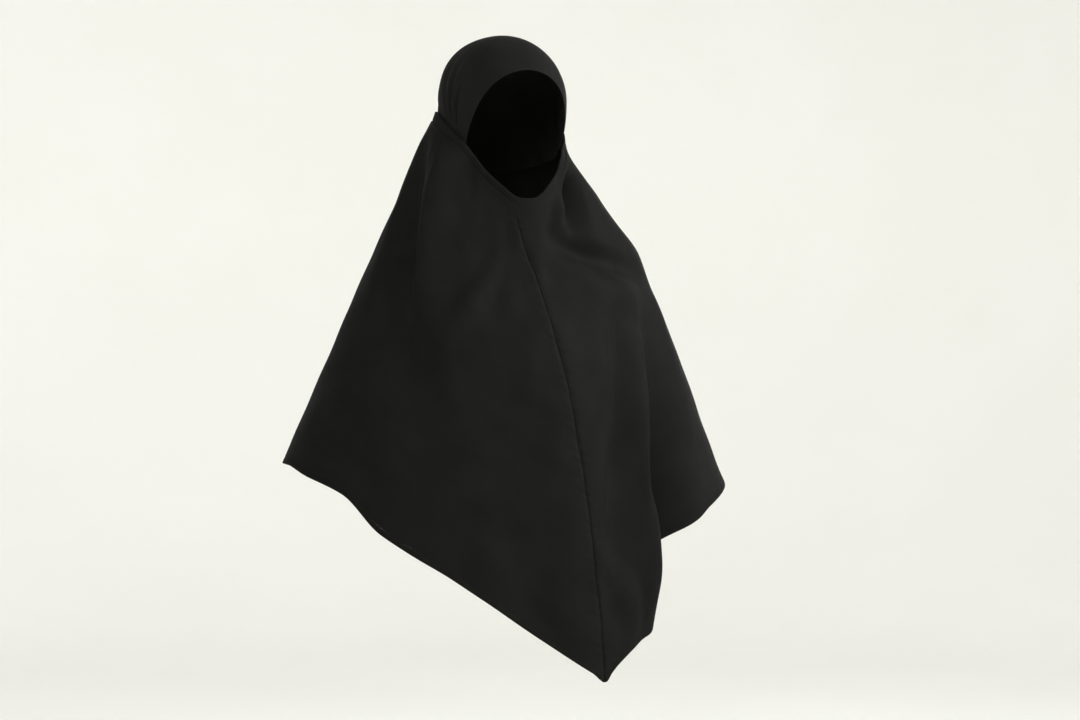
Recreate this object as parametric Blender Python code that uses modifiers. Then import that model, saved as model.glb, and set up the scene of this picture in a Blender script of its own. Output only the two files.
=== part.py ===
"""A pointed cape headscarf, as it hangs when worn.

The scarf hangs from the crown of the head. The origin is the inside of the hood at the top of the crown,
+Z is up, the face opening looks along -Y and +X is the wearer's left. All sizes are in metres.
"""

import bmesh
import bpy
import numpy as np

# The cloth
CLOTH = 0.0015
DOUBLED_CLOTH = 0.0024
SEWN_GAP = 0.0007
HEM_GAP = 0.0018
HOOD_GAP = 0.0016

# The head that the hood is cut for, measured inside the hood
HEAD_HALF_WIDTH = 0.089
HEAD_HALF_DEPTH = 0.095
CROWN_HEIGHT = 0.0935
JAW_HEIGHT = 0.145

# The hood: every arch of its cloth runs from ear to ear through one gathering line below the ears
GATHER_DROP = 0.166
GATHER_FORWARD = 0.032
BROW_LEAN = -27.2
NAPE_LEAN = 100.0
EAR_OPENING = 7.0

# The upper edge of the cape. It hangs free in front, up to FREE_EDGE degrees either side, and sits on the
# hood from SEATED_EDGE degrees round to the back. Below it the cape leaves the edge's curve over EDGE_FADE,
# and the folds rise over FOLD_RISE below the band.
CHIN_DROP = 0.235
CHIN_FORWARD = 0.099
FREE_EDGE = 44.0
SEATED_EDGE = 62.0
BAND_WIDTH = 0.016
EDGE_FADE = 0.120
FOLD_RISE = 0.042

# The cape
FRONT_DROP = 0.897
HEM_HALF_WIDTH = 0.420
HEM_FRONT_DEPTH = 0.203
HEM_BACK_DEPTH = 0.190
SEAM_WIDTH = 0.0036
HEM_WIDTH = 0.010

# How finely the cloth is faceted
HOOD_ARCHES = 34
HOOD_STEPS = 19
CAPE_COLUMNS = 47
FRONT_CROWDING = 0.45
CAPE_ROWS = 18
TOP_CROWDING = 1.35
BAND_ROWS = 3

# The finishes, as a base colour and a roughness
CREPE = ((0.010, 0.010, 0.011), 0.62)
SEWN_EDGE = ((0.008, 0.008, 0.009), 0.66)

# Where the arches of the hood lie, closer together over the gathers by the ears
ARCH_SPACING = (
    # share, lean
    (0.00, NAPE_LEAN),
    (0.26, 56.0),
    (0.88, -12.0),
    (1.00, BROW_LEAN),
)

# Folds in the hood, by the lean of the arch where they start above the ear and where they end up the side.
# Low and high are degrees up the arch, and depth is a share of the head's half width.
HOOD_FOLDS = (
    # name, low_lean, high_lean, low, high, half_width, depth
    ("front_groove", 12.0, -9.0, 12.0, 64.0, 5.0, -0.042),
    ("middle_groove", 20.0, 3.0, 12.0, 70.0, 5.0, -0.060),
    ("rear_groove", 32.0, 12.0, 16.0, 66.0, 5.5, -0.045),
    ("nape_groove", 58.0, 34.0, 18.0, 84.0, 8.0, -0.035),
    ("crown_ridge", 27.0, 20.0, 42.0, 94.0, 15.0, 0.040),
)

# The upper edge, by direction from the straight front. Radius is a share of CHIN_FORWARD, and counts only
# where the edge runs free of the hood. Drop is a share of CHIN_DROP.
EDGE = (
    # angle, radius, drop
    (-180.0, 0.900, 0.430),
    (-130.0, 0.900, 0.438),
    (-105.0, 0.900, 0.459),
    (-91.0, 0.900, 0.510),
    (-69.0, 0.880, 0.618),
    (-51.0, 0.898, 0.754),
    (-28.7, 0.937, 0.906),
    (-9.0, 0.990, 1.000),
    (0.0, 1.000, 0.999),
    (8.6, 0.992, 0.967),
    (18.4, 0.972, 0.904),
    (29.6, 0.935, 0.838),
    (40.0, 0.912, 0.748),
    (50.0, 0.898, 0.688),
    (69.0, 0.880, 0.595),
    (91.0, 0.900, 0.510),
    (105.0, 0.900, 0.459),
    (130.0, 0.900, 0.438),
    (180.0, 0.900, 0.430),
)

# Level sections of the cape. Drop is a share of FRONT_DROP, and the half widths are shares of the hem's.
SECTIONS = (
    # drop, right, left, front, back
    (0.105, 0.175, 0.165, 0.430, 0.520),
    (0.170, 0.245, 0.178, 0.470, 0.560),
    (0.254, 0.350, 0.325, 0.493, 0.610),
    (0.343, 0.450, 0.508, 0.545, 0.680),
    (0.424, 0.535, 0.580, 0.680, 0.750),
    (0.505, 0.612, 0.655, 0.800, 0.810),
    (0.586, 0.695, 0.726, 0.867, 0.868),
    (0.667, 0.775, 0.795, 0.906, 0.905),
    (0.732, 0.830, 0.862, 0.931, 0.932),
    (0.838, 0.893, 0.930, 0.961, 0.968),
    (1.000, 1.000, 1.000, 1.000, 1.000),
)

# The lower edge of the cape, by direction from the straight front. Drop is a share of FRONT_DROP.
HEM = (
    # angle, drop
    (-180.0, 0.803),
    (-149.0, 0.755),
    (-121.5, 0.698),
    (-91.0, 0.670),
    (-79.5, 0.689),
    (-70.5, 0.712),
    (-60.5, 0.772),
    (-43.5, 0.834),
    (-20.5, 0.906),
    (-4.5, 0.950),
    (8.0, 0.984),
    (14.4, 1.000),
    (17.0, 0.987),
    (20.2, 0.972),
    (24.1, 0.957),
    (28.0, 0.947),
    (31.1, 0.940),
    (35.5, 0.931),
    (41.0, 0.905),
    (46.0, 0.840),
    (51.0, 0.802),
    (57.0, 0.774),
    (65.0, 0.745),
    (93.5, 0.700),
    (121.5, 0.690),
    (151.0, 0.755),
    (180.0, 0.803),
)

# Lines of the cloth, by angle round from the front seam, and their directions from the straight front as they
# fall. The front seam is one of them, and the side lines follow the two main folds.
LINES = (
    # around, at_edge, at_8, at_18, at_30, at_50, at_75, at_hem
    (-180.0, -180.0, -180.0, -180.0, -180.0, -180.0, -180.0, -180.0),
    (-125.0, -125.0, -125.0, -125.0, -125.0, -125.0, -125.0, -125.0),
    (-68.0, -88.0, -82.0, -74.0, -68.0, -63.0, -62.0, -62.0),
    (0.0, -16.0, -11.5, -3.2, 1.6, 7.2, 11.4, 13.6),
    (42.0, 50.0, 51.0, 51.5, 49.0, 42.0, 34.5, 32.0),
    (100.0, 100.0, 100.0, 100.0, 100.0, 100.0, 100.0, 100.0),
    (180.0, 180.0, 180.0, 180.0, 180.0, 180.0, 180.0, 180.0),
)
LINE_FALLS = (0.00, 0.08, 0.18, 0.30, 0.50, 0.75, 1.00)

# Steep folds, by direction from the straight front where they start, halfway and at the end. The drops are
# shares of FRONT_DROP and the depth a share of HEM_FRONT_DEPTH, less than zero for a hollow. Lean shears the
# fold sideways, in degrees.
STEEP_FOLDS = (
    # name, start_angle, middle_angle, end_angle, start_drop, end_drop, half_width, depth, lean
    ("right_upper_fold", -84.0, -64.0, -57.0, 0.080, 0.540, 12.0, 0.080, -2.5),
    ("right_upper_hollow", -104.0, -79.0, -70.0, 0.130, 0.520, 13.5, -0.130, 0.0),
    ("right_side_hollow", -66.0, -59.0, -53.0, 0.380, 0.640, 14.0, -0.060, 0.0),
    ("seam_keel", -9.0, 9.0, 15.0, 0.250, 1.600, 30.0, 0.060, 0.0),
    ("left_upper_fold", 37.0, 26.8, 18.7, 0.110, 0.350, 9.5, 0.065, 3.0),
    ("left_upper_hollow", 52.0, 43.0, 36.0, 0.110, 0.360, 13.0, -0.140, 0.0),
    ("left_panel_fold", 60.5, 30.5, 24.5, 0.340, 1.050, 10.5, 0.098, 5.0),
    ("left_corner_fold", 39.0, 38.5, 37.0, 0.660, 0.990, 13.0, 0.128, 2.0),
    ("left_panel_hollow", 81.0, 48.8, 47.5, 0.260, 1.200, 13.5, -0.270, 0.0),
    ("left_panel_stripe", 48.0, 27.0, 20.0, 0.340, 1.000, 10.0, -0.050, 0.0),
    ("back_left_flute", 158.0, 154.0, 150.0, 0.220, 1.200, 20.0, 0.190, 0.0),
    ("back_right_flute", -158.0, -153.0, -148.0, 0.220, 1.200, 20.0, 0.190, 0.0),
    ("left_side_flute", 100.0, 97.0, 95.0, 0.350, 1.300, 18.0, 0.110, 0.0),
)

# Folds that run across the cape, by direction. The drops, half width and depth are in the same shares.
LEVEL_FOLDS = (
    # name, start_angle, end_angle, start_drop, end_drop, half_width, depth
    ("shoulder_hollow", 2.0, 84.0, 0.320, 0.386, 0.040, -0.090),
    ("shoulder_ridge", 4.0, 84.0, 0.370, 0.436, 0.060, 0.045),
    ("right_front_fold", -22.0, -68.0, 0.345, 0.560, 0.070, 0.045),
    ("right_side_fold", -52.0, -92.0, 0.500, 0.600, 0.070, 0.030),
)


def smooth_column(rows, column, at, key=0):
    """Reads one column of a table at the given places, on a curve that doesn't swing past its rows."""
    places = np.array([row[key] for row in rows], float)
    values = np.array([row[column] for row in rows], float)
    steps = np.diff(places)
    slopes = np.diff(values) / steps
    tangents = np.zeros_like(values)
    same_way = slopes[:-1] * slopes[1:] > 0
    before, after = 2 * steps[1:] + steps[:-1], steps[1:] + 2 * steps[:-1]
    with np.errstate(divide="ignore", invalid="ignore"):
        mean = (before + after) / (before / slopes[:-1] + after / slopes[1:])
    tangents[1:-1] = np.where(same_way, mean, 0.0)
    at = np.clip(np.asarray(at, float), places[0], places[-1])
    index = np.clip(np.searchsorted(places, at, side="right") - 1, 0, len(steps) - 1)
    share = (at - places[index]) / steps[index]
    h01 = share * share * (3 - 2 * share)
    h10 = share * (1 - share) ** 2
    h11 = share * share * (share - 1)
    rise = values[index + 1] - values[index]
    return (
        values[index]
        + rise * h01
        + steps[index] * (tangents[index] * h10 + tangents[index + 1] * h11)
    )


def hump(distance, power=3):
    """A smooth hump: 1 in the middle and 0 from a distance of 1 outwards. A higher power is slimmer."""
    inside = np.clip(np.abs(distance), 0, 1)
    return (1 - inside * inside) ** power


def span(at, start, end):
    """A smooth window that is 0 outside start and end and 1 halfway."""
    return hump((2 * at - start - end) / (end - start), power=2)


def wrap_degrees(angle):
    """The angle, from -180 to 180."""
    return (angle + 180) % 360 - 180


def bow(start, middle, end, along):
    """A curve through three values, for along from 0 to 1."""
    bend = 4 * middle - 3 * start - end
    return start + along * (bend + along * (end - start - bend))


def head_reach(start, direction):
    """How far it is from a point inside the head to its surface, along a unit direction."""
    reaches = []
    for height in (CROWN_HEIGHT, JAW_HEIGHT):
        sizes = np.array([HEAD_HALF_WIDTH, HEAD_HALF_DEPTH, height])
        offset = (start - np.array([0, 0, -CROWN_HEIGHT])) / sizes
        run = direction / sizes
        a = (run * run).sum(-1)
        b = (run * offset).sum(-1)
        c = (offset * offset).sum(-1) - 1
        reaches.append((-b + np.sqrt(b * b - a * c)) / a)
    above = start[2] + reaches[0] * direction[..., 2] >= -CROWN_HEIGHT
    return np.where(above, reaches[0], reaches[1])


def hood_surface(lean, climb, lift=0.0):
    """Points of the hood, by the lean of the arch from upright and the climb up it from the right ear."""
    lean, climb = np.broadcast_arrays(np.asarray(lean, float), np.asarray(climb, float))
    tilt, rise = np.radians(lean), np.radians(climb)
    direction = np.stack(
        [-np.cos(rise), np.sin(rise) * np.sin(tilt), np.sin(rise) * np.cos(tilt)],
        axis=-1,
    )
    start = np.array([0.0, -GATHER_FORWARD, -GATHER_DROP])
    reach = head_reach(start, direction)
    side_climb = np.minimum(climb, 180 - climb)
    for _, low_lean, high_lean, low, high, half_width, depth in HOOD_FOLDS:
        centre = low_lean + (high_lean - low_lean) * (side_climb - low) / (high - low)
        fold = hump((lean - centre) / half_width)
        reach = reach + HEAD_HALF_WIDTH * depth * fold * span(side_climb, low, high)
    return start + (reach + lift)[..., None] * direction


def line_direction(around, fall):
    """Direction of a line of the cloth from the straight front, in degrees, at a share of its fall."""
    around, fall = np.broadcast_arrays(np.asarray(around, float), np.asarray(fall, float))
    table = np.array(LINES)
    places = [smooth_column(list(zip(LINE_FALLS, row[1:])), 1, fall) for row in table]
    direction = np.full(around.shape, table[0, 1])
    for near, far, first, last in zip(places, places[1:], table[:, 0], table[1:, 0]):
        share = (around - first) / (last - first)
        direction = np.where(share >= 0, near + (far - near) * share, direction)
    return direction


def head_radius(angle, drop):
    """Radius of the head in a direction, at a drop below the crown."""
    below = drop - CROWN_HEIGHT
    height = np.where(below > 0, JAW_HEIGHT, CROWN_HEIGHT)
    shrink = np.sqrt(np.clip(1 - (below / height) ** 2, 0, 1))
    turn = np.radians(angle)
    return shrink / np.hypot(np.sin(turn) / HEAD_HALF_WIDTH, np.cos(turn) / HEAD_HALF_DEPTH)


def edge_place(angle):
    """Radius and drop of the upper edge in a direction, in degrees from the straight front."""
    turn = wrap_degrees(angle)
    drop = CHIN_DROP * smooth_column(EDGE, 2, turn)
    free = CHIN_FORWARD * smooth_column(EDGE, 1, turn)
    seated = head_radius(turn, drop) + CLOTH + HOOD_GAP + DOUBLED_CLOTH
    share = np.clip((np.abs(turn) - FREE_EDGE) / (SEATED_EDGE - FREE_EDGE), 0, 1)
    share = share * share * (3 - 2 * share)
    return free + (seated - free) * share, drop


def section_radius(angle, drop):
    """Radius of the unfolded cape in a direction, at a drop below the crown."""
    level = drop / FRONT_DROP
    right = HEM_HALF_WIDTH * smooth_column(SECTIONS, 1, level)
    left = HEM_HALF_WIDTH * smooth_column(SECTIONS, 2, level)
    front = HEM_FRONT_DEPTH * smooth_column(SECTIONS, 3, level)
    back = HEM_BACK_DEPTH * smooth_column(SECTIONS, 4, level)
    turn = np.radians(angle)
    ahead = np.cos(turn)
    side = np.where(np.sin(turn) > 0, left, right)
    depth = np.where(ahead > 0, front, back)
    return 1 / np.sqrt((np.sin(turn) / side) ** 2 + (ahead / depth) ** 2)


def fold_offsets(angle, level):
    """How far the folds push the cape out, and how far they shear it round, by direction and level."""
    push, shear = np.zeros_like(angle), np.zeros_like(angle)
    for _, start, middle, end, top, bottom, half_width, depth, lean in STEEP_FOLDS:
        along = np.clip((level - top) / (bottom - top), 0, 1)
        across = wrap_degrees(angle - bow(start, middle, end, along)) / half_width
        fold = hump(across) * span(level, top, bottom)
        push = push + HEM_FRONT_DEPTH * depth * fold
        shear = shear + lean * fold
    for _, start, end, top, bottom, half_width, depth in LEVEL_FOLDS:
        along = wrap_degrees(angle - start) / (end - start)
        across = (level - top - (bottom - top) * along) / half_width
        push = push + HEM_FRONT_DEPTH * depth * hump(across) * span(along, 0.0, 1.0)
    return push, shear


def cape_surface(around, fall):
    """Points of the cape, by the angle round from the front seam and the share of the fall to the hem."""
    around, fall = np.broadcast_arrays(np.asarray(around, float), np.asarray(fall, float))
    angle = line_direction(around, fall)
    edge_drop = edge_place(line_direction(around, 0.0))[1]
    hem_drop = FRONT_DROP * smooth_column(HEM, 1, line_direction(around, 1.0))
    drop = edge_drop + (hem_drop - edge_drop) * fall
    here_radius, here_drop = edge_place(angle)
    below = drop - edge_drop
    correction = here_radius - section_radius(angle, here_drop)
    radius = section_radius(angle, drop) + correction * np.exp(-((below / EDGE_FADE) ** 2))
    push, shear = fold_offsets(angle, drop / FRONT_DROP)
    rise_in = 1 - hump(np.clip((below - BAND_WIDTH) / FOLD_RISE, 0, 1), power=2)
    turn = np.radians(angle + shear * rise_in)
    radius = radius + push * rise_in
    return np.stack([radius * np.sin(turn), -radius * np.cos(turn), -drop], axis=-1)


def rib_length(around):
    """The length of cloth from the upper edge to the hem, at an angle round from the front seam."""
    steps = np.linspace(0, 1, 40)[:, None]
    points = cape_surface(np.asarray(around, float)[None, :], steps)
    return np.linalg.norm(np.diff(points, axis=0), axis=2).sum(0)


def seam_clearance(centre, fall, distance):
    """The angle that spans a distance along the cloth beside a seam at the given angle."""
    points = cape_surface(centre, fall)
    return np.degrees(distance / np.linalg.norm(points[..., :2], axis=-1))


def finish_of(name, finish):
    """The plain finish of one piece."""
    colour, roughness = finish
    material = bpy.data.materials.new(name + "_cloth")
    material.use_nodes = True
    shader = material.node_tree.nodes["Principled BSDF"]
    shader.inputs["Base Color"].default_value = (*colour, 1.0)
    shader.inputs["Roughness"].default_value = roughness
    shader.inputs["Metallic"].default_value = 0.0
    return material


def cloth_piece(name, points, thickness, finish, collection, ring=False):
    """A piece of cloth lofted through a grid of points, rows running down and columns running left."""
    rows, columns = points.shape[:2]
    mesh = bpy.data.meshes.new(name)
    grid = bmesh.new()
    corners = [grid.verts.new(point) for point in points.reshape(-1, 3)]
    last = columns if ring else columns - 1
    for row in range(rows - 1):
        for column in range(last):
            here, beside = row * columns + column, row * columns + (column + 1) % columns
            below, across = here + columns, beside + columns
            grid.faces.new([corners[place] for place in (here, below, across, beside)])
    grid.to_mesh(mesh)
    grid.free()
    mesh.shade_smooth()
    piece = bpy.data.objects.new(name, mesh)
    collection.objects.link(piece)
    piece.data.materials.append(finish_of(name, finish))
    wall = piece.modifiers.new("Wall", "SOLIDIFY")
    wall.thickness = thickness
    wall.offset = -1
    wall.use_even_offset = True
    wall.use_quality_normals = True


def make_hood(collection):
    """The inner hood, lifted off the head by its own cloth so that its inside is the head's size."""
    lean = smooth_column(ARCH_SPACING, 1, np.linspace(0, 1, HOOD_ARCHES))[None, :]
    climb = np.linspace(EAR_OPENING, 180 - EAR_OPENING, HOOD_STEPS)[:, None]
    cloth_piece("crown_hood", hood_surface(lean, climb, CLOTH), CLOTH, CREPE, collection)


def band_falls(around):
    """Rows of the chin band, as shares of the fall at each angle round."""
    return np.linspace(0, BAND_WIDTH, BAND_ROWS)[:, None] / rib_length(around)


def cape_falls(around):
    """Rows of the cape between band and hem, as shares of the fall at each angle round."""
    length = rib_length(around)
    first = (BAND_WIDTH + SEWN_GAP) / length
    last = 1 - (HEM_WIDTH + HEM_GAP) / length
    return first + (last - first) * np.linspace(0, 1, CAPE_ROWS)[:, None] ** TOP_CROWDING


def hem_falls(around):
    """Upper and lower row of the hem, as shares of the fall at each angle round."""
    top = 1 - HEM_WIDTH / rib_length(around)
    return np.stack([top, np.ones_like(top)])


def half_points(side, falls):
    """A grid over one half of the cape, clear of both seams: side is -1 for the right half and 1 for the left.

    The rows lie where falls puts them. The columns are closer together in front and run leftwards.
    """
    share = np.linspace(0, 1, CAPE_COLUMNS)
    evened = share + FRONT_CROWDING * share * (share - 1)
    fall = falls(side * 180 * evened)
    margin = SEAM_WIDTH / 2 + SEWN_GAP
    front = seam_clearance(0.0, fall[:, :1], margin)
    back = 180 - seam_clearance(180.0, fall[:, -1:], margin)
    points = cape_surface(side * (front + (back - front) * evened), fall)
    return points if side > 0 else points[:, ::-1]


def make_chin_band(collection):
    """The doubled upper edge of the cape, one closed loop over the columns of both halves."""
    points = np.concatenate([half_points(-1, band_falls), half_points(1, band_falls)], axis=1)
    cloth_piece("chin_band", points, DOUBLED_CLOTH, SEWN_EDGE, collection, ring=True)


def make_half(side, collection):
    """One half of the cape with its hem."""
    name = "left" if side > 0 else "right"
    cloth_piece("cape_" + name, half_points(side, cape_falls), CLOTH, CREPE, collection)
    cloth_piece("hem_" + name, half_points(side, hem_falls), DOUBLED_CLOTH, SEWN_EDGE, collection)


def make_seam(name, centre, collection):
    """A sewn seam down the cape, a slim doubled strip between the halves that keeps to their rows."""
    around = np.array([centre])
    fall = np.concatenate([cape_falls(around), hem_falls(around)])
    half = seam_clearance(centre, fall, SEAM_WIDTH / 2)
    points = cape_surface(centre + half * np.array([-1.0, 0.0, 1.0]), fall)
    cloth_piece(name, points, DOUBLED_CLOTH, SEWN_EDGE, collection)


def main():
    """Builds the scarf from an empty scene."""
    for thing in list(bpy.data.objects):
        bpy.data.objects.remove(thing)
    collection = bpy.data.collections.new("cape_headscarf")
    bpy.context.scene.collection.children.link(collection)
    make_hood(collection)
    make_chin_band(collection)
    make_half(-1, collection)
    make_half(1, collection)
    make_seam("front_seam", 0.0, collection)
    make_seam("back_seam", 180.0, collection)


if __name__ == "__main__":
    main()
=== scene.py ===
"""A long pointed cape headscarf in black crepe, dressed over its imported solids.

The scarf hangs from the crown, at the origin. +Z is up, the face opening looks along -Y and +X is the
wearer's left. Lengths are in metres and angles in degrees unless a name says otherwise.
"""

import logging
import math
from dataclasses import dataclass, field
from enum import Enum
from typing import NamedTuple, Sequence

import bmesh
import bpy
import numpy as np
import numpy.typing as npt
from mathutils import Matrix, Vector


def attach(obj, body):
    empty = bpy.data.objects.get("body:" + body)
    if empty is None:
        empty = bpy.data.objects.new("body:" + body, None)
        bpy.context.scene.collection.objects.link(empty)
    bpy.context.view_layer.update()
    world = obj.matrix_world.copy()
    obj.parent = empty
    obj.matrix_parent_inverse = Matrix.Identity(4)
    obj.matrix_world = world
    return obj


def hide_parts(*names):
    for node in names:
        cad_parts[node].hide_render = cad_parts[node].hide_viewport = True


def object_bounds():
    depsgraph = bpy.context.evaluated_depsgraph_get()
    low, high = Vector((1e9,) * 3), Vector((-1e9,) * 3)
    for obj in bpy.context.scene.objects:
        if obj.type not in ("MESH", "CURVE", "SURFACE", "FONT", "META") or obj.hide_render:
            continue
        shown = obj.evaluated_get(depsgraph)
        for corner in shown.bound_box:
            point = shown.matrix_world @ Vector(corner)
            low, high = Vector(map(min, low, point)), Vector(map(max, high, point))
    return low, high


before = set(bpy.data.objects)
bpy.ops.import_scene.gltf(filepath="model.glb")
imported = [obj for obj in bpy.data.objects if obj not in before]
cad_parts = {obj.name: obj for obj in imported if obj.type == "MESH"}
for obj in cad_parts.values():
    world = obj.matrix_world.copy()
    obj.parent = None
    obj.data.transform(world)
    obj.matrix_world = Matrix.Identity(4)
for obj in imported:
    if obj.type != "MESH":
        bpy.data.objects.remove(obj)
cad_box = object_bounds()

Grid = npt.NDArray[np.float64]
Colour = tuple[float, float, float]

# An edge stays crisp where its faces meet at more than this
CUT_EDGE = math.radians(55)

# The range that a noise texture usually keeps to
NOISE_LOW = 0.3
NOISE_HIGH = 0.7

# How far a wave texture turns in a metre at a scale of 1, in radians
WAVE_TURN = 20

log = logging.getLogger("cape_headscarf")


class Side(Enum):
    """The two halves of the cape, by the sign of their angle round from the front seam."""

    RIGHT = -1
    LEFT = 1

    @property
    def label(self) -> str:
        """The side's name as the nodes spell it."""
        return self.name.lower()


class Seam(Enum):
    """The two seams of the cape, by their angle round from the front one."""

    FRONT = 0.0
    BACK = 180.0

    @property
    def node(self) -> str:
        """The seam's node."""
        return self.name.lower() + "_seam"


class Slot(Enum):
    """The record's material slots."""

    CREPE = "black_crepe"
    SEWN_EDGE = "black_sewn_edge"


def smooth_column(places: Sequence[float], values: Sequence[float], at: Grid | float) -> Grid:
    """Reads a curve through the given rows that doesn't swing past them.

    Args:
        places: Where the rows lie, rising.
        values: The value at each row.
        at: Where to read the curve. It is held at its ends outside the rows.

    Returns:
        The curve's values at the given places.
    """
    rows = np.array(places, float)
    heights = np.array(values, float)
    steps = np.diff(rows)
    slopes = np.diff(heights) / steps
    tangents = np.zeros_like(heights)
    same_way = slopes[:-1] * slopes[1:] > 0
    before = 2 * steps[1:] + steps[:-1]
    after = steps[1:] + 2 * steps[:-1]
    with np.errstate(divide="ignore", invalid="ignore"):
        mean = (before + after) / (before / slopes[:-1] + after / slopes[1:])
    tangents[1:-1] = np.where(same_way, mean, 0.0)
    at = np.clip(np.asarray(at, float), rows[0], rows[-1])
    index = np.clip(np.searchsorted(rows, at, side="right") - 1, 0, len(steps) - 1)
    share = (at - rows[index]) / steps[index]
    rise = heights[index + 1] - heights[index]
    ends = tangents[index] * share * (1 - share) ** 2 + tangents[index + 1] * share * share * (share - 1)
    return heights[index] + rise * share * share * (3 - 2 * share) + steps[index] * ends


def hump(distance: Grid, power: int = 3) -> Grid:
    """A smooth hump: 1 in the middle, 0 from a distance of 1 outwards, and slimmer with a higher power."""
    inside = np.clip(np.abs(distance), 0, 1)
    return (1 - inside * inside) ** power


def span(at: Grid, start: float, end: float) -> Grid:
    """A smooth window that is 0 outside start and end and 1 halfway."""
    return hump((2 * at - start - end) / (end - start), power=2)


def smooth_step(at: Grid) -> Grid:
    """A step from 0 to 1 with flat ends."""
    inside = np.clip(at, 0, 1)
    return inside * inside * (3 - 2 * inside)


def wrap_degrees(angle: Grid) -> Grid:
    """The angle, from -180 to 180."""
    return (angle + 180) % 360 - 180


def bow(start: float, middle: float, end: float, along: Grid) -> Grid:
    """A curve through three values, for along from 0 to 1."""
    bend = 4 * middle - 3 * start - end
    return start + along * (bend + along * (end - start - bend))


def ripple(across: Grid, down: Grid, wavelength: float, seed: int) -> Grid:
    """A soft irregular ripple, from plane waves whose directions and phases never repeat.

    Args:
        across: Distance round the cloth.
        down: Distance down the cloth.
        wavelength: The usual distance from crest to crest.
        seed: Which ripple of its kind to make.

    Returns:
        Heights from about -1 to 1.
    """
    waves = 7
    shortest, longest = 0.75, 1.25
    golden = math.radians(137.508)
    height = np.zeros(np.broadcast(across, down).shape)
    for number in range(waves):
        heading = golden * (number + seed * waves)
        stretch = shortest + (longest - shortest) * number / (waves - 1)
        run = (across * math.cos(heading) + down * math.sin(heading)) * math.tau / (wavelength * stretch)
        height = height + np.sin(run + heading * heading)
    return height / math.sqrt(2 * waves)


class HoodFold(NamedTuple):
    """A fold of the hood, from low to high in degrees up the arch, its depth a share of the half width."""

    name: str
    low_lean: float
    high_lean: float
    low: float
    high: float
    half_width: float
    depth: float


class SteepFold(NamedTuple):
    """A fold that runs down the cape, by direction, with drops and depth as shares of the cape's sizes."""

    name: str
    start: float
    middle: float
    end: float
    top: float
    bottom: float
    half_width: float
    depth: float
    lean: float


class LevelFold(NamedTuple):
    """A fold that runs across the cape, by direction, with drops and depth as shares of the cape's sizes."""

    name: str
    start: float
    end: float
    top: float
    bottom: float
    half_width: float
    depth: float


class Crease(NamedTuple):
    """A small fold along a bowed path over the cape.

    The path runs through three places, each a direction and a drop as a share of the front drop. The half
    width and height are lengths, and a height below zero is a groove.
    """

    name: str
    start: tuple[float, float]
    middle: tuple[float, float]
    end: tuple[float, float]
    half_width: float
    height: float


@dataclass(frozen=True)
class Cloth:
    """The thicknesses of the cloth and the gaps between its pieces."""

    cad_wall: float = 0.0015
    wall: float = 0.0011
    doubled: float = 0.0022
    cad_doubled: float = 0.0024
    gap: float = 0.00025
    touch: float = 0.00003
    seam_gap: float = 0.0005
    hood_gap: float = 0.0016


@dataclass(frozen=True)
class Head:
    """The space that the hood is cut for, two half ellipsoids that meet at the widest level."""

    half_width: float = 0.089
    half_depth: float = 0.095
    crown_height: float = 0.0935
    jaw_height: float = 0.145

    def reach(self, start: Grid, direction: Grid) -> Grid:
        """How far it is from a point inside to the surface.

        Args:
            start: The point inside.
            direction: Unit directions, with the three coordinates last.

        Returns:
            The distance along each direction.
        """
        reaches = []
        for height in (self.crown_height, self.jaw_height):
            sizes = np.array([self.half_width, self.half_depth, height])
            offset = (start - np.array([0, 0, -self.crown_height])) / sizes
            run = direction / sizes
            squared = (run * run).sum(-1)
            linear = (run * offset).sum(-1)
            constant = (offset * offset).sum(-1) - 1
            reaches.append((-linear + np.sqrt(linear * linear - squared * constant)) / squared)
        above = start[2] + reaches[0] * direction[..., 2] >= -self.crown_height
        return np.where(above, reaches[0], reaches[1])

    def radius(self, angle: Grid, drop: Grid) -> Grid:
        """The head's radius.

        Args:
            angle: The direction round from the front.
            drop: The drop below the crown.

        Returns:
            The level distance from the axis to the surface.
        """
        below = drop - self.crown_height
        height = np.where(below > 0, self.jaw_height, self.crown_height)
        shrink = np.sqrt(np.clip(1 - (below / height) ** 2, 0, 1))
        turn = np.radians(angle)
        return shrink / np.hypot(np.sin(turn) / self.half_width, np.cos(turn) / self.half_depth)


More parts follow.
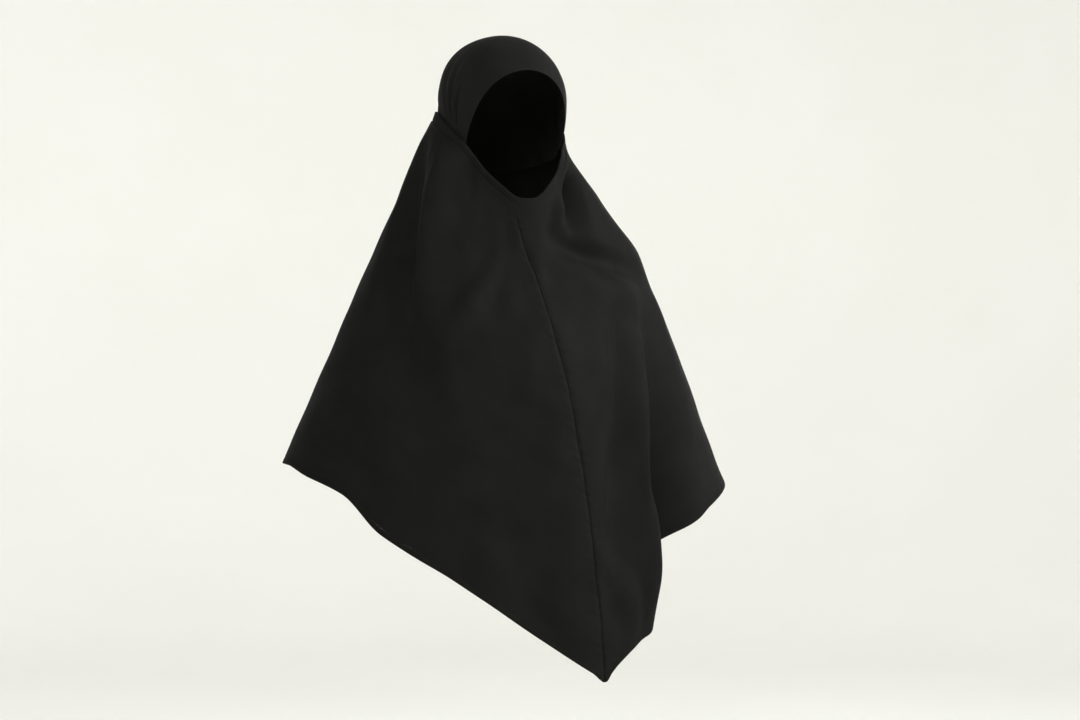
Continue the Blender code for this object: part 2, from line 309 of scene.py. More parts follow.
@dataclass(frozen=True)
class HoodShape:
    """The hood's surface: arches from ear to ear, through one gathering line below the ears."""

    head: Head = field(default_factory=Head)
    gather_drop: float = 0.166
    gather_forward: float = 0.032
    brow_lean: float = -27.2
    nape_lean: float = 100.0
    ear_opening: float = 7.0
    lean_shares: tuple[float, ...] = (0.0, 0.26, 0.88, 1.0)
    rear_lean: float = 56.0
    front_lean: float = -12.0
    folds: tuple[HoodFold, ...] = (
        HoodFold("front_groove", 12.0, -9.0, 12.0, 64.0, 5.0, -0.042),
        HoodFold("middle_groove", 20.0, 3.0, 12.0, 70.0, 5.0, -0.060),
        HoodFold("rear_groove", 32.0, 12.0, 16.0, 66.0, 5.5, -0.045),
        HoodFold("nape_groove", 58.0, 34.0, 18.0, 84.0, 8.0, -0.050),
        HoodFold("crown_ridge", 27.0, 20.0, 42.0, 94.0, 15.0, 0.040),
        HoodFold("front_tuck", 16.0, -5.0, 10.0, 54.0, 2.5, -0.070),
        HoodFold("rear_tuck", 29.0, 6.0, 12.0, 58.0, 2.5, -0.070),
    )

    def lean_at(self, share: Grid) -> Grid:
        """The lean of the arch at a share of the way from nape to brow, closer together by the ears."""
        leans = (self.nape_lean, self.rear_lean, self.front_lean, self.brow_lean)
        return smooth_column(self.lean_shares, leans, share)

    def surface(self, lean: Grid, climb: Grid, lift: float) -> Grid:
        """Points of the hood.

        Args:
            lean: The lean of the arch from upright, backwards.
            climb: Degrees up the arch from the right ear.
            lift: How far outside the head the surface lies.

        Returns:
            The points, with the three coordinates last.
        """
        lean, climb = np.broadcast_arrays(np.asarray(lean, float), np.asarray(climb, float))
        tilt, rise = np.radians(lean), np.radians(climb)
        direction = np.stack(
            [-np.cos(rise), np.sin(rise) * np.sin(tilt), np.sin(rise) * np.cos(tilt)],
            axis=-1,
        )
        start = np.array([0.0, -self.gather_forward, -self.gather_drop])
        reach = self.head.reach(start, direction)
        side_climb = np.minimum(climb, 180 - climb)
        for fold in self.folds:
            share = (side_climb - fold.low) / (fold.high - fold.low)
            centre = fold.low_lean + (fold.high_lean - fold.low_lean) * share
            across = hump((lean - centre) / fold.half_width)
            along = span(side_climb, fold.low, fold.high)
            reach = reach + self.head.half_width * fold.depth * across * along
        return start + (reach + lift)[..., None] * direction


@dataclass(frozen=True)
class Drape:
    """The cape's surface, from its edge under the chin to its hem."""

    front_drop: float
    cloth: Cloth = field(default_factory=Cloth)
    head: Head = field(default_factory=Head)
    chin_drop: float = 0.235
    chin_forward: float = 0.099
    free_edge: float = 44.0
    seated_edge: float = 62.0
    band_width: float = 0.016
    edge_fade: float = 0.120
    fold_rise: float = 0.028
    hem_half_width: float = 0.420
    hem_front_depth: float = 0.203
    hem_back_depth: float = 0.190
    seam_width: float = 0.0036
    hem_width: float = 0.010
    seam_open: float = 0.020
    seam_dip: float = 0.0012
    seam_dip_reach: float = 0.0038
    seam_hidden: float = 0.4
    pucker_height: float = 0.0004
    pucker_reach: float = 0.014
    pucker_length: float = 0.019
    pucker_drift: float = 1.7
    pucker_drift_rate: float = 0.37
    pucker_second: float = 0.5
    pucker_second_rate: float = 1.83
    ripple_height: float = 0.0011
    ripple_length: float = 0.085
    ripple_radius: float = 0.25
    ripple_seed: int = 1
    crease_overrun: float = 0.15
    crease_steps: int = 15
    rib_steps: int = 60

    # Upper edge: direction, radius as a share of chin_forward, drop as a share of chin_drop
    edge: tuple[tuple[float, float, float], ...] = (
        (-180.0, 0.900, 0.430),
        (-130.0, 0.900, 0.438),
        (-105.0, 0.900, 0.459),
        (-91.0, 0.900, 0.510),
        (-69.0, 0.880, 0.618),
        (-51.0, 0.898, 0.754),
        (-28.7, 0.937, 0.906),
        (-9.0, 0.990, 1.000),
        (0.0, 1.000, 0.999),
        (8.6, 0.992, 0.967),
        (18.4, 0.972, 0.904),
        (29.6, 0.935, 0.838),
        (40.0, 0.912, 0.748),
        (50.0, 0.898, 0.688),
        (69.0, 0.880, 0.595),
        (91.0, 0.900, 0.510),
        (105.0, 0.900, 0.459),
        (130.0, 0.900, 0.438),
        (180.0, 0.900, 0.430),
    )

    # Level sections: drop as a share of front_drop, then right, left, front and back as shares of the hem's
    sections: tuple[tuple[float, float, float, float, float], ...] = (
        (0.105, 0.175, 0.165, 0.430, 0.520),
        (0.170, 0.245, 0.178, 0.470, 0.560),
        (0.254, 0.350, 0.325, 0.493, 0.610),
        (0.343, 0.450, 0.508, 0.545, 0.680),
        (0.424, 0.535, 0.580, 0.680, 0.750),
        (0.505, 0.612, 0.655, 0.800, 0.810),
        (0.586, 0.695, 0.726, 0.867, 0.868),
        (0.667, 0.775, 0.795, 0.906, 0.905),
        (0.732, 0.830, 0.862, 0.931, 0.932),
        (0.838, 0.893, 0.930, 0.961, 0.968),
        (1.000, 1.000, 1.000, 1.000, 1.000),
    )

    # Lower edge: direction, drop as a share of front_drop
    hem: tuple[tuple[float, float], ...] = (
        (-180.0, 0.803),
        (-149.0, 0.755),
        (-121.5, 0.698),
        (-91.0, 0.670),
        (-79.5, 0.689),
        (-70.5, 0.712),
        (-60.5, 0.772),
        (-43.5, 0.834),
        (-20.5, 0.906),
        (-4.5, 0.950),
        (8.0, 0.984),
        (14.4, 1.000),
        (17.0, 0.987),
        (20.2, 0.972),
        (24.1, 0.957),
        (28.0, 0.947),
        (31.1, 0.940),
        (35.5, 0.931),
        (41.0, 0.905),
        (46.0, 0.840),
        (51.0, 0.802),
        (57.0, 0.774),
        (65.0, 0.745),
        (93.5, 0.700),
        (121.5, 0.690),
        (151.0, 0.755),
        (180.0, 0.803),
    )

    # Lines of the cloth: angle round from the front seam, then the direction at each share of line_falls
    line_falls: tuple[float, ...] = (0.00, 0.08, 0.18, 0.30, 0.50, 0.75, 1.00)
    lines: tuple[tuple[float, ...], ...] = (
        (-180.0, -180.0, -180.0, -180.0, -180.0, -180.0, -180.0, -180.0),
        (-125.0, -125.0, -125.0, -125.0, -125.0, -125.0, -125.0, -125.0),
        (-68.0, -88.0, -82.0, -74.0, -68.0, -63.0, -62.0, -62.0),
        (0.0, -16.0, -11.5, -3.2, 1.6, 7.2, 11.4, 13.6),
        (42.0, 50.0, 51.0, 51.5, 49.0, 42.0, 34.5, 32.0),
        (100.0, 100.0, 100.0, 100.0, 100.0, 100.0, 100.0, 100.0),
        (180.0, 180.0, 180.0, 180.0, 180.0, 180.0, 180.0, 180.0),
    )

    steep_folds: tuple[SteepFold, ...] = (
        SteepFold("right_upper_fold", -84.0, -64.0, -57.0, 0.080, 0.540, 12.0, 0.080, -2.5),
        SteepFold("right_upper_hollow", -104.0, -79.0, -70.0, 0.130, 0.520, 13.5, -0.130, 0.0),
        SteepFold("right_side_hollow", -66.0, -59.0, -53.0, 0.380, 0.640, 14.0, -0.060, 0.0),
        SteepFold("seam_keel", -9.0, 9.0, 15.0, 0.250, 1.600, 30.0, 0.060, 0.0),
        SteepFold("left_upper_fold", 37.0, 26.8, 18.7, 0.110, 0.350, 9.5, 0.065, 3.0),
        SteepFold("left_upper_hollow", 52.0, 43.0, 36.0, 0.100, 0.360, 13.0, -0.150, 0.0),
        SteepFold("left_panel_fold", 56.0, 30.0, 24.5, 0.390, 1.050, 10.5, 0.098, 5.0),
        SteepFold("left_corner_fold", 39.0, 38.5, 37.0, 0.660, 0.990, 13.0, 0.128, 2.0),
        SteepFold("left_panel_hollow", 70.0, 47.8, 45.8, 0.340, 1.200, 13.5, -0.280, 0.0),
        SteepFold("left_panel_stripe", 47.0, 27.0, 20.0, 0.350, 1.000, 9.5, -0.065, 0.0),
        SteepFold("back_left_flute", 158.0, 154.0, 150.0, 0.220, 1.200, 20.0, 0.190, 0.0),
        SteepFold("back_right_flute", -158.0, -153.0, -148.0, 0.220, 1.200, 20.0, 0.190, 0.0),
        SteepFold("left_side_flute", 100.0, 97.0, 95.0, 0.350, 1.300, 18.0, 0.110, 0.0),
    )

    level_folds: tuple[LevelFold, ...] = (
        LevelFold("shoulder_hollow", 2.0, 84.0, 0.320, 0.386, 0.040, -0.090),
        LevelFold("shoulder_ridge", 4.0, 84.0, 0.370, 0.436, 0.060, 0.045),
        LevelFold("right_front_fold", -22.0, -68.0, 0.345, 0.560, 0.070, 0.045),
        LevelFold("right_side_fold", -52.0, -92.0, 0.500, 0.600, 0.070, 0.030),
    )

    creases: tuple[Crease, ...] = (
        Crease("pinch_ridge", (-8.0, 0.262), (-2.0, 0.268), (5.0, 0.282), 0.0060, 0.0016),
        Crease("pinch_groove", (-7.0, 0.272), (0.0, 0.280), (9.0, 0.296), 0.0055, -0.0016),
        Crease("right_pull", (-46.0, 0.350), (-38.0, 0.420), (-33.0, 0.500), 0.0300, 0.0020),
        Crease("right_soft_fold", (-80.0, 0.400), (-70.0, 0.460), (-62.0, 0.540), 0.0260, 0.0030),
        Crease("left_band", (13.0, 0.790), (21.0, 0.850), (30.0, 0.930), 0.0240, 0.0040),
        Crease("left_dent", (17.0, 0.880), (20.0, 0.910), (22.0, 0.945), 0.0200, -0.0035),
    )

    def line_direction(self, around: Grid, fall: Grid) -> Grid:
        """Where the lines of the cloth run.

        Args:
            around: Angle round from the front seam, which names a line.
            fall: Share of the fall from the upper edge to the hem.

        Returns:
            The direction of each line from the straight front.
        """
        around, fall = np.broadcast_arrays(np.asarray(around, float), np.asarray(fall, float))
        table = np.array(self.lines)
        places = [smooth_column(self.line_falls, row[1:], fall) for row in table]
        direction = np.full(around.shape, table[0, 1])
        for near, far, first, last in zip(places, places[1:], table[:, 0], table[1:, 0]):
            share = (around - first) / (last - first)
            direction = np.where(share >= 0, near + (far - near) * share, direction)
        return direction

    def edge_place(self, angle: Grid) -> tuple[Grid, Grid]:
        """Where the upper edge lies: free under the chin, and seated on the hood behind the ears.

        Args:
            angle: The direction from the straight front.

        Returns:
            The edge's radius and its drop below the crown.
        """
        turn = wrap_degrees(angle)
        angles, radii, drops = zip(*self.edge)
        drop = self.chin_drop * smooth_column(angles, drops, turn)
        free = self.chin_forward * smooth_column(angles, radii, turn)
        seat = self.cloth.cad_wall + self.cloth.hood_gap + self.cloth.cad_doubled
        seated = self.head.radius(turn, drop) + seat
        share = smooth_step((np.abs(turn) - self.free_edge) / (self.seated_edge - self.free_edge))
        return free + (seated - free) * share, drop

    def section_radius(self, angle: Grid, drop: Grid) -> Grid:
        """Radius of the unfolded cape.

        Args:
            angle: The direction from the straight front.
            drop: The drop below the crown.

        Returns:
            The level distance from the axis to the cape.
        """
        drops, rights, lefts, fronts, backs = zip(*self.sections)
        level = drop / self.front_drop
        right = self.hem_half_width * smooth_column(drops, rights, level)
        left = self.hem_half_width * smooth_column(drops, lefts, level)
        front = self.hem_front_depth * smooth_column(drops, fronts, level)
        back = self.hem_back_depth * smooth_column(drops, backs, level)
        turn = np.radians(angle)
        ahead = np.cos(turn)
        side = np.where(np.sin(turn) > 0, left, right)
        depth = np.where(ahead > 0, front, back)
        return 1 / np.sqrt((np.sin(turn) / side) ** 2 + (ahead / depth) ** 2)

    def fold_offsets(self, angle: Grid, level: Grid) -> tuple[Grid, Grid]:
        """What the main folds do to the cape.

        Args:
            angle: The direction from the straight front.
            level: The drop below the crown as a share of the front drop.

        Returns:
            How far the folds push the cape out, and how many degrees they shear it round.
        """
        push, shear = np.zeros_like(angle), np.zeros_like(angle)
        for fold in self.steep_folds:
            along = np.clip((level - fold.top) / (fold.bottom - fold.top), 0, 1)
            centre = bow(fold.start, fold.middle, fold.end, along)
            shape = hump(wrap_degrees(angle - centre) / fold.half_width) * span(level, fold.top, fold.bottom)
            push = push + self.hem_front_depth * fold.depth * shape
            shear = shear + fold.lean * shape
        for fold in self.level_folds:
            along = wrap_degrees(angle - fold.start) / (fold.end - fold.start)
            across = (level - fold.top - (fold.bottom - fold.top) * along) / fold.half_width
            push = push + self.hem_front_depth * fold.depth * hump(across) * span(along, 0.0, 1.0)
        return push, shear

    def crease_offset(self, angle: Grid, level: Grid, radius: Grid) -> Grid:
        """What the small creases do to the cape.

        Args:
            angle: The direction from the straight front.
            level: The drop below the crown as a share of the front drop.
            radius: The cape's radius there.

        Returns:
            How far the creases push the cape out.
        """
        steps = np.linspace(0, 1, self.crease_steps)
        push = np.zeros_like(angle)
        for crease in self.creases:
            directions = bow(crease.start[0], crease.middle[0], crease.end[0], steps)
            levels = bow(crease.start[1], crease.middle[1], crease.end[1], steps)
            nearest = np.full(angle.shape, np.inf)
            along = np.zeros_like(angle)
            for step, direction, place in zip(steps, directions, levels):
                across = np.radians(wrap_degrees(angle - direction)) * radius
                distance = np.hypot(across, (level - place) * self.front_drop)
                along = np.where(distance < nearest, step, along)
                nearest = np.minimum(nearest, distance)
            length = span(along, -self.crease_overrun, 1 + self.crease_overrun)
            push = push + crease.height * hump(nearest / crease.half_width) * length
        return push

    def seam_relief(self, around: Grid, below: Grid, radius: Grid) -> Grid:
        """The dip along both seams and the puckers that their stitches draw up beside them.

        Args:
            around: Angle round from the front seam.
            below: The drop below the upper edge.
            radius: The cape's radius there.

        Returns:
            How far both push the cape out, which is below zero in the dip.
        """
        relief = np.zeros_like(radius)
        turns = below * math.tau / self.pucker_length
        drift = self.pucker_drift * np.sin(turns * self.pucker_drift_rate)
        for seam in Seam:
            beside = np.abs(np.radians(wrap_degrees(around - seam.value))) * radius
            relief = relief - self.seam_dip * np.exp(-((beside / self.seam_dip_reach) ** 2))
            second = self.pucker_second * np.sin(turns * self.pucker_second_rate + seam.value)
            near = np.exp(-((beside / self.pucker_reach) ** 2))
            relief = relief + self.pucker_height * (np.sin(turns + drift) + second) * near
        return relief * self.seam_opened(below)

    def seam_opened(self, below: Grid) -> Grid:
        """How far a seam shows at a drop below the band's edge: not at all close to the band."""
        return smooth_step((below - self.band_width) / self.seam_open - self.seam_hidden)

    def surface(self, around: Grid, fall: Grid) -> Grid:
        """Points of the cape.

        Args:
            around: Angle round from the front seam.
            fall: Share of the fall from the upper edge to the hem.

        Returns:
            The points, with the three coordinates last.
        """
        around, fall = np.broadcast_arrays(np.asarray(around, float), np.asarray(fall, float))
        angle = self.line_direction(around, fall)
        edge_drop = self.edge_place(self.line_direction(around, 0.0))[1]
        hem_angles, hem_drops = zip(*self.hem)
        hem_direction = self.line_direction(around, 1.0)
        hem_drop = self.front_drop * smooth_column(hem_angles, hem_drops, hem_direction)
        drop = edge_drop + (hem_drop - edge_drop) * fall
        here_radius, here_drop = self.edge_place(angle)
        below = drop - edge_drop
        correction = here_radius - self.section_radius(angle, here_drop)
        radius = self.section_radius(angle, drop) + correction * np.exp(-((below / self.edge_fade) ** 2))
        level = drop / self.front_drop
        push, shear = self.fold_offsets(angle, level)
        rise = 1 - hump(np.clip((below - self.band_width) / self.fold_rise, 0, 1), power=2)
        fine = self.crease_offset(angle, level, radius)
        across = np.radians(angle) * self.ripple_radius
        fine = fine + self.ripple_height * ripple(across, drop, self.ripple_length, self.ripple_seed)
        fine = fine + self.seam_relief(around, below, radius)
        fine_rise = smooth_step((below - self.band_width) / (2 * self.band_width))
        turn = np.radians(angle + shear * rise)
        radius = radius + push * rise + fine * fine_rise
        return np.stack([radius * np.sin(turn), -radius * np.cos(turn), -drop], axis=-1)

    def lifted(self, around: Grid, fall: Grid, lift: Grid | float) -> Grid:
        """Points that stand off the cape along its outward normal.

        Args:
            around: Angle round from the front seam.
            fall: Share of the fall from the upper edge to the hem.
            lift: How far they stand off, which is below zero inside the cape.

        Returns:
            The points, with the three coordinates last.
        """
        turn_step, fall_step = 0.3, 0.0015
        point = self.surface(around, fall)
        leftwards = self.surface(around + turn_step, fall) - self.surface(around - turn_step, fall)
        downwards = self.surface(around, fall + fall_step) - self.surface(around, fall - fall_step)
        normal = np.cross(downwards, leftwards)
        normal = normal / np.linalg.norm(normal, axis=-1, keepdims=True)
        return point + normal * np.asarray(lift, float)[..., None]

    def rib_length(self, around: Grid) -> Grid:
        """The length of cloth from the upper edge to the hem.

        Args:
            around: Angles round from the front seam.

        Returns:
            The length at each angle.
        """
        steps = np.linspace(0, 1, self.rib_steps)[:, None]
        points = self.surface(np.asarray(around, float)[None, :], steps)
        return np.linalg.norm(np.diff(points, axis=0), axis=2).sum(0)

    def seam_clearance(self, seam: Seam, fall: Grid, distance: Grid | float) -> Grid:
        """The angle that spans a distance along the cloth beside a seam."""
        points = self.surface(seam.value, fall)
        return np.degrees(distance / np.linalg.norm(points[..., :2], axis=-1))


class Bench:
    """Adds and joins the nodes of one material."""

    def __init__(self, name: str) -> None:
        """Starts a material with an empty shader.

        Args:
            name: The material's name.
        """
        self.material = bpy.data.materials.new(name)
        self.material.use_nodes = True
        self.tree = self.material.node_tree
        self.shader = self.tree.nodes["Principled BSDF"]

    def add(self, kind: str, **settings: object) -> bpy.types.Node:
        """Adds a node.

        Args:
            kind: Its type.
            **settings: Its own properties, by name.

        Returns:
            The node.
        """
        node = self.tree.nodes.new(kind)
        for key, value in settings.items():
            setattr(node, key, value)
        return node

    def join(self, source: bpy.types.NodeSocket, target: bpy.types.NodeSocket) -> None:
        """Links an output to an input."""
        self.tree.links.new(source, target)

    def noise(self, place: bpy.types.NodeSocket, scale: float, detail: float) -> bpy.types.NodeSocket:
        """Cloudy noise.

        Args:
            place: Where to read it, in metres.
            scale: Features to the metre.
            detail: How many finer octaves it has.

        Returns:
            The noise, from 0 to 1.
        """
        node = self.add("ShaderNodeTexNoise")
        node.inputs["Scale"].default_value = scale
        node.inputs["Detail"].default_value = detail
        self.join(place, node.inputs["Vector"])
        return node.outputs["Fac"]

    def threads(self, place: bpy.types.NodeSocket, axis: str, pitch: float) -> bpy.types.NodeSocket:
        """Parallel threads, a little wavy.

        Args:
            place: Where to read them, in metres.
            axis: The axis of the cloth that they lie across.
            pitch: The distance from thread to thread.

        Returns:
            Their height, from 0 to 1.
        """
        node = self.add("ShaderNodeTexWave", bands_direction=axis)
        node.inputs["Scale"].default_value = math.tau / WAVE_TURN / pitch
        node.inputs["Distortion"].default_value = 1.2
        node.inputs["Detail"].default_value = 1.0
        node.inputs["Detail Scale"].default_value = 0.6
        self.join(place, node.inputs["Vector"])
        return node.outputs["Fac"]

    def blend(
        self, one: bpy.types.NodeSocket, two: bpy.types.NodeSocket, share: float
    ) -> bpy.types.NodeSocket:
        """Blends two values.

        Args:
            one: The first value.
            two: The second value.
            share: How much of the blend comes from the second.

        Returns:
            The blend.
        """
        node = self.add("ShaderNodeMix", data_type="FLOAT")
        node.inputs["Factor"].default_value = share
        self.join(one, node.inputs[2])
        self.join(two, node.inputs[3])
        return node.outputs[0]

    def spread(self, value: bpy.types.NodeSocket, low: float, high: float) -> bpy.types.NodeSocket:
        """Spreads the usual range of a noise over another.

        Args:
            value: The noise.
            low: The value where it is at its usual lowest.
            high: The value where it is at its usual highest.

        Returns:
            The spread value.
        """
        node = self.add("ShaderNodeMapRange")
        node.inputs["From Min"].default_value = NOISE_LOW
        node.inputs["From Max"].default_value = NOISE_HIGH
        node.inputs["To Min"].default_value = low
        node.inputs["To Max"].default_value = high
        self.join(value, node.inputs["Value"])
        return node.outputs["Result"]

    def tint(self, value: bpy.types.NodeSocket, dark: Colour, light: Colour) -> bpy.types.NodeSocket:
        """Tints by the usual range of a noise.

        Args:
            value: The noise.
            dark: The colour where it is low.
            light: The colour where it is high.

        Returns:
            The colour.
        """
        node = self.add("ShaderNodeValToRGB")
        node.color_ramp.elements[0].position = NOISE_LOW
        node.color_ramp.elements[0].color = (*dark, 1.0)
        node.color_ramp.elements[1].position = NOISE_HIGH
        node.color_ramp.elements[1].color = (*light, 1.0)
        self.join(value, node.inputs["Fac"])
        return node.outputs["Color"]

    def relief(
        self,
        height: bpy.types.NodeSocket,
        distance: float,
        strength: float,
        under: bpy.types.NodeSocket | None = None,
    ) -> bpy.types.NodeSocket:
        """Surface relief.

        Args:
            height: The height, from 0 to 1.
            distance: What a height of 1 stands for, in metres.
            strength: How much of it shows.
            under: The coarser relief that it lies on, if there is one.

        Returns:
            The relieved normal.
        """
        node = self.add("ShaderNodeBump")
        node.inputs["Distance"].default_value = distance
        node.inputs["Strength"].default_value = strength
        self.join(height, node.inputs["Height"])
        if under is not None:
            self.join(under, node.inputs["Normal"])
        return node.outputs["Normal"]


@dataclass(frozen=True)
class CrepeFinish:
    """Black crepe: a pebbled weave, a soft silky sheen and slight unevenness of dye.

    Lengths are in metres. The grain, the slub and the dye are features to the metre.
    """

    name: str = "crepe"
    dark: Colour = (0.0054, 0.0054, 0.0050)
    light: Colour = (0.0076, 0.0076, 0.0070)
    smooth: float = 0.60
    rough: float = 0.74
    specular: float = 0.02
    sheen: float = 0.006
    sheen_roughness: float = 0.40
    sheen_tint: Colour = (0.95, 0.95, 0.92)
    thread_pitch: float = 0.00055
    grain: float = 1500.0
    grain_depth: float = 0.00016
    slub: float = 110.0
    slub_depth: float = 0.00030
    dye: float = 22.0

    def material(self) -> bpy.types.Material:
        """Builds the finish.

        Returns:
            The material, laid out by the cloth's own measure in metres.
        """
        bench = Bench(self.name)
        cloth = bench.add("ShaderNodeUVMap", uv_map="cloth").outputs["UV"]
        grain = bench.noise(cloth, self.grain, detail=3.0)
        slub = bench.noise(cloth, self.slub, detail=4.0)
        dye = bench.noise(cloth, self.dye, detail=5.0)
        warp = bench.threads(cloth, "X", self.thread_pitch)
        weft = bench.threads(cloth, "Y", self.thread_pitch)
        weave = bench.blend(bench.blend(warp, weft, share=0.5), grain, share=0.6)
        colour = bench.tint(bench.blend(dye, weave, share=0.35), self.dark, self.light)
        bench.join(colour, bench.shader.inputs["Base Color"])
        roughness = bench.spread(bench.blend(slub, grain, share=0.4), self.smooth, self.rough)
        bench.join(roughness, bench.shader.inputs["Roughness"])
        soft = bench.relief(slub, self.slub_depth, strength=0.35)
        normal = bench.relief(weave, self.grain_depth, strength=0.40, under=soft)
        bench.join(normal, bench.shader.inputs["Normal"])
        bench.shader.inputs["Specular IOR Level"].default_value = self.specular
        bench.shader.inputs["Sheen Weight"].default_value = self.sheen
        bench.shader.inputs["Sheen Roughness"].default_value = self.sheen_roughness
        bench.shader.inputs["Sheen Tint"].default_value = (*self.sheen_tint, 1.0)
        return bench.material


@dataclass(frozen=True)
class Patch:
    """A grid of cloth, its rows running down and its columns leftwards, and how it is measured."""

    name: str
    points: Grid
    ring: bool = False

    def measures(self) -> tuple[Grid, Grid]:
        """Measures the cloth, by the mean of its rows and of its columns.

        Returns:
            The distance across at each column and at one more, which closes a ring, and at each row the
            distance down, which is below zero.
        """
        across = np.linalg.norm(np.diff(self.points, axis=1), axis=2).mean(axis=0)
        down = np.linalg.norm(np.diff(self.points, axis=0), axis=2).mean(axis=1)
        u = np.concatenate([[0.0], np.cumsum(across)])
        v = -np.concatenate([[0.0], np.cumsum(down)])
        return np.append(u, u[-1] + u[1]), v

    def make(self) -> bpy.types.Object:
        """Makes the object, with its measure as a UV map.

        Returns:
            The mesh object, linked to the scene.
        """
        rows, columns = self.points.shape[:2]
        last = columns if self.ring else columns - 1
        row, column = np.meshgrid(np.arange(rows - 1), np.arange(last), indexing="ij")
        here = row * columns + column
        beside = row * columns + (column + 1) % columns
        faces = np.stack([here, here + columns, beside + columns, beside], axis=-1).reshape(-1, 4)
        mesh = bpy.data.meshes.new(self.name)
        mesh.from_pydata(self.points.reshape(-1, 3).tolist(), [], faces.tolist())
        u, v = self.measures()
        near, far = u[column], u[column + 1]
        above, below = v[row], v[row + 1]
        corners = np.stack([near, above, near, below, far, below, far, above], axis=-1)
        layer = mesh.uv_layers.new(name="cloth")
        layer.data.foreach_set("uv", corners.reshape(-1).astype(np.float32))
        mesh.shade_smooth()
        piece = bpy.data.objects.new(self.name, mesh)
        bpy.context.scene.collection.objects.link(piece)
        return piece


def close_sweep(piece: bpy.types.Object, ring: bool) -> None:
    """Closes a swept strip: joins the last row to the first, caps its ends and turns its faces out.

    Args:
        piece: A grid whose rows run round the strip's section and whose columns run along it.
        ring: Whether the strip meets itself, so that it has no ends.
    """
    grid = bmesh.new()
    grid.from_mesh(piece.data)
    bmesh.ops.remove_doubles(grid, verts=grid.verts, dist=1e-6)
    if not ring:
        edges = [edge for edge in grid.edges if edge.is_boundary]
        bmesh.ops.holes_fill(grid, edges=edges, sides=0)
    bmesh.ops.recalc_face_normals(grid, faces=grid.faces)
    grid.to_mesh(piece.data)
    grid.free()
    piece.data.set_sharp_from_angle(angle=CUT_EDGE)


def add_wall(piece: bpy.types.Object, thickness: float) -> None:
    """Gives an open surface its thickness, inwards, and keeps its cut edges crisp.

    Args:
        piece: The surface, whose mesh is replaced by the wall's.
        thickness: The wall's thickness.
    """
    wall = piece.modifiers.new("Wall", "SOLIDIFY")
    wall.thickness = thickness
    wall.offset = -1
    wall.use_even_offset = True
    wall.use_quality_normals = True
    thin = piece.data
    shaped = piece.evaluated_get(bpy.context.evaluated_depsgraph_get())
    piece.data = bpy.data.meshes.new_from_object(shaped)
    piece.modifiers.clear()
    bpy.data.meshes.remove(thin)
    piece.data.set_sharp_from_angle(angle=CUT_EDGE)


def dress_piece(piece: bpy.types.Object, finish: bpy.types.Material, node: str) -> None:
    """Gives a piece its finish and its body, and puts it in the place of a solid.

    Args:
        piece: The piece.
        finish: Its material.
        node: The node that it replaces.
    """
    piece.data.materials.append(finish)
    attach(piece, "root")
    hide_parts(node)


@dataclass
class CrownHood:
    """The close inner hood over the crown."""

    shape: HoodShape
    cloth: Cloth
    arches: int = 190
    steps: int = 170
    flat: tuple[float, float] = (0.42, 0.30)
    cut_area: float = 0.086

    def build(self) -> list[bpy.types.Object]:
        """Builds the hood's cloth, with its outside where the solid has it.

        Returns:
            The hood's one piece.
        """
        lean = self.shape.lean_at(np.linspace(0, 1, self.arches))[None, :]
        climb = np.linspace(self.shape.ear_opening, 180 - self.shape.ear_opening, self.steps)[:, None]
        points = self.shape.surface(lean, climb, self.cloth.cad_wall)
        hood = Patch("hood_cloth", points).make()
        add_wall(hood, self.cloth.wall)
        return [hood]

    def dress(self, pieces: list[bpy.types.Object], hood_painted_light: bpy.types.Material) -> None:
        """Gives the hood its finish and its body.

        Args:
            pieces: The hood's one piece.
            hood_painted_light: The cape's crepe painted lighter, as painted light on the hood.
        """
        (hood,) = pieces
        dress_piece(hood, hood_painted_light, "crown_hood")


@dataclass
class ChinBand:
    """The turned upper edge of the cape, one closed loop with its stitched crease."""

    drape: Drape
    columns: int = 460
    crease_centre: float = 14.0
    crease_fade: float = 20.0
    edge_roll: float = 0.0012
    outer_share: float = 0.7

    def section(self) -> list[tuple[float, float]]:
        """The band's section, a loop whose last point is its first.

        Returns:
            For each point, the distance below the band's edge and the lift off the cape.
        """
        width = self.drape.band_width
        thick = self.drape.cloth.doubled
        return [
            (0.0003, -0.0007),
            (0.0012, -0.0001),
            (0.0030, 0.0000),
            (0.0070, -0.0002),
            (0.0110, -0.0005),
            (0.0132, -0.0010),
            (0.0141, -0.0014),
            (0.0147, -0.0004),
            (width, 0.0000),
            (width, -thick * 0.8),
            (0.0110, -thick),
            (0.0040, -thick),
            (0.0010, -thick * 0.9),
            (0.0001, -thick * 0.6),
            (0.0003, -0.0007),
        ]

    def crease_share(self, around: Grid) -> Grid:
        """How deep the stitched crease is: it fades out under the chin.

        Args:
            around: Angle round from the front seam.

        Returns:
            The share of the section's full depth.
        """
        direction = self.drape.line_direction(around, 0.0)
        return smooth_step((np.abs(direction - self.crease_centre) - self.crease_fade) / self.crease_fade)

    def build(self) -> list[bpy.types.Object]:
        """Builds the band round the whole edge.

        Returns:
            The band's one piece.
        """
        around = np.linspace(-180, 180, self.columns, endpoint=False)
        profile = np.array(self.section())
        fall = profile[:, :1] / self.drape.rib_length(around)
        lift = np.repeat(profile[:, 1:], self.columns, axis=1)
        outer = -self.drape.cloth.doubled * self.outer_share
        creased = (profile[:, :1] > self.edge_roll) & (profile[:, 1:] > outer)
        lift = np.where(creased, lift * self.crease_share(around), lift)
        band = Patch("chin_band_cloth", self.drape.lifted(around, fall, lift), ring=True).make()
        close_sweep(band, ring=True)
        return [band]

    def dress(self, pieces: list[bpy.types.Object], sewn: bpy.types.Material) -> None:
        """Gives the band the finish of the doubled cloth, and its body."""
        (band,) = pieces
        dress_piece(band, sewn, "chin_band")


